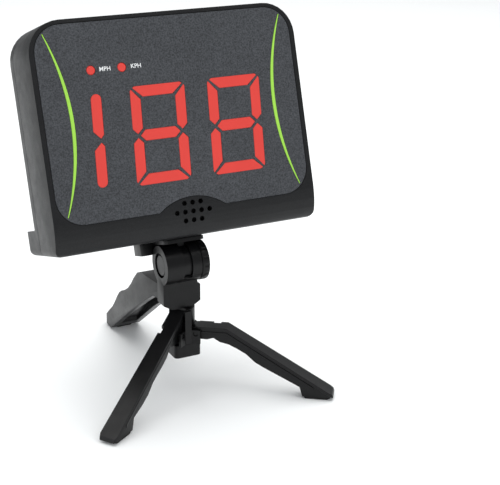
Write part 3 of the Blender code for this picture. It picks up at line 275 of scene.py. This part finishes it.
# ---------------------------------------------------------------- screws on the rear cover
def screw_head(name):
    """A low domed head with a cross recess, its base at the origin and facing up."""
    shape = bmesh.new()

    def cross(angle):
        """How far the cross reaches from the middle at an angle."""
        turn = (angle + pi / 4) % (pi / 2) - pi / 4
        return min(CROSS_REACH, CROSS_WIDTH * CROSS_REACH / max(abs(sin(turn)), CROSS_WIDTH))

    top = Vector((0, 0, SCREW_HEAD_HEIGHT))
    foot = top - Vector((0, 0, CROSS_DEPTH))
    rim, rim_top, shoulder, mouth, pit = [], [], [], [], []
    for i in range(SCREW_STEPS):
        angle = 2 * pi * i / SCREW_STEPS
        out = Vector((cos(angle), sin(angle), 0))
        edge = out * SCREW_HEAD_RADIUS
        rim.append(edge)
        rim_top.append(edge + top * SCREW_RIM)
        shoulder.append(edge * SCREW_SHOULDER[0] + top * SCREW_SHOULDER[1])
        mouth.append(out * cross(angle) * CROSS_MOUTH + top)
        pit.append(out * cross(angle) * CROSS_PIT + foot)
    profile = (rim, rim_top, shoulder, mouth, pit)
    rings = [[shape.verts.new(spot * MM) for spot in ring] for ring in profile]
    for low, high in zip(rings, rings[1:]):
        for i in range(SCREW_STEPS):
            j = (i + 1) % SCREW_STEPS
            shape.faces.new((low[i], low[j], high[j], high[i]))
    shape.faces.new(list(reversed(rings[0])))
    shape.faces.new(rings[-1])
    bmesh.ops.recalc_face_normals(shape, faces=shape.faces)
    mesh = bpy.data.meshes.new(name)
    shape.to_mesh(mesh)
    shape.free()
    mesh.shade_smooth()
    mesh.set_sharp_from_angle(angle=SCREW_CORNER_ANGLE)
    return mesh


def make_screw_heads():
    """A head over the outer end of each case screw, facing out of the rear cover."""
    for node in ("case_screw_lower_left", "case_screw_lower_right",
                 "case_screw_upper_left", "case_screw_upper_right"):
        low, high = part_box(node)
        centre = (Vector(low) + Vector(high)) / 2 - CASE_ORIGIN
        corners = frame["nodes"][node].data.vertices
        rear = max((Vector(corner.co) - CASE_ORIGIN).dot(BACK) for corner in corners) / MM
        name = node + "_head"
        head = add(name, screw_head(name), "case", "steel")
        turn = BACK.to_track_quat("Z", "Y").to_matrix().to_4x4()
        spot = on_case(centre.dot(ACROSS) / MM, rear + SCREW_LIFT, centre.dot(UP) / MM)
        head.data.transform(Matrix.Translation(spot) @ turn)


make_screw_heads()


# ---------------------------------------------------------------- labels
def make_label(name, words, x):
    """Flat printed words on the panel, reading left to right from x."""
    curve = bpy.data.curves.new(name, "FONT")
    curve.body = words
    curve.size = LABEL_HEIGHT * FONT_PER_CAPITAL * MM
    curve.align_x = "LEFT"
    curve.align_y = "CENTER"
    curve.extrude = LABEL_THICKNESS * MM
    curve.offset = LABEL_WEIGHT * MM
    made = bpy.data.objects.new(name, curve)
    bpy.context.scene.collection.objects.link(made)
    facing = Matrix((ACROSS, UP, -BACK)).transposed().to_4x4()
    made.matrix_world = Matrix.Translation(on_case(x, LABEL_FRONT, LABEL_Z)) @ facing
    curve.materials.append(LOOKS["ink"])
    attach(made, "case")


for name, words, x in LABELS:
    make_label(name, words, x)


# ---------------------------------------------------------------- studio
def make_floor():
    """A wide sheet of pale paper, a hair below the feet."""
    shape = bmesh.new()
    bmesh.ops.create_grid(shape, x_segments=1, y_segments=1, size=6.0)
    mesh = bpy.data.meshes.new("floor")
    shape.to_mesh(mesh)
    shape.free()
    floor = bpy.data.objects.new("floor", mesh)
    bpy.context.scene.collection.objects.link(floor)
    floor.location = (0, 0, -0.0002)
    made, nodes, links, shader = tree_of("floor_paper")
    shader.inputs["Base Color"].default_value = (0.90, 0.915, 0.92, 1)
    shader.inputs["Roughness"].default_value = 0.55
    shader.inputs["Specular IOR Level"].default_value = 0.25
    mesh.materials.append(made)


def area_light(name, place, target, width, height, power, colour):
    """A softbox at a place, turned towards a target."""
    lamp = bpy.data.lights.new(name, "AREA")
    lamp.shape = "RECTANGLE"
    lamp.size = width
    lamp.size_y = height
    lamp.energy = power
    lamp.color = colour
    made = bpy.data.objects.new(name, lamp)
    bpy.context.scene.collection.objects.link(made)
    made.location = place
    made.rotation_euler = (Vector(target) - Vector(place)).to_track_quat("-Z", "Y").to_euler()
    return made


def make_studio():
    """Pale surroundings, a large light overhead, a small one at the left and a fill in front."""
    world = bpy.data.worlds.new("studio")
    bpy.context.scene.world = world
    world.use_nodes = True
    sky = world.node_tree.nodes["Background"]
    sky.inputs["Color"].default_value = (0.97, 0.985, 1.0, 1)
    sky.inputs["Strength"].default_value = 0.46
    area_light("top_light", place=(0.2, 0.5, 2.1), target=(0, 0.2, 0.0), width=3.0, height=2.6,
               power=62.0, colour=(1.0, 0.995, 0.985))
    area_light("left_light", place=(-1.7, -0.6, 0.7), target=(0, 0, 0.12), width=0.8, height=1.0,
               power=8.0, colour=(0.95, 0.98, 1.0))
    fill = area_light("front_fill", place=(0.5, -1.9, 0.9), target=(0, 0, 0.0), width=1.8, height=1.2,
                      power=14.0, colour=(1.0, 1.0, 1.0))
    fill.visible_glossy = False
    bpy.context.scene.view_settings.view_transform = "Standard"


def make_camera():
    """Stands in front and to the left, looking down at the display."""
    level = cos(CAMERA_PITCH)
    ahead = Vector((sin(CAMERA_HEADING) * level, cos(CAMERA_HEADING) * level, -sin(CAMERA_PITCH)))
    right = Vector((cos(CAMERA_HEADING), -sin(CAMERA_HEADING), 0))
    above = right.cross(ahead)
    rolled_right = right * cos(CAMERA_ROLL) + above * sin(CAMERA_ROLL)
    rolled_up = above * cos(CAMERA_ROLL) - right * sin(CAMERA_ROLL)
    lens = bpy.data.cameras.new("camera")
    lens.lens = CAMERA_LENS
    lens.sensor_width = CAMERA_SENSOR
    lens.clip_start = 0.01
    camera = bpy.data.objects.new("camera", lens)
    bpy.context.scene.collection.objects.link(camera)
    turn = Matrix((rolled_right, rolled_up, -ahead)).transposed().to_4x4()
    hub = Vector((TILT_AXIS.x, TILT_AXIS.y, 0))
    camera.matrix_world = Matrix.Translation(hub + Vector(CAMERA_FROM_HUB)) @ turn
    bpy.context.scene.camera = camera


make_floor()
make_studio()
make_camera()
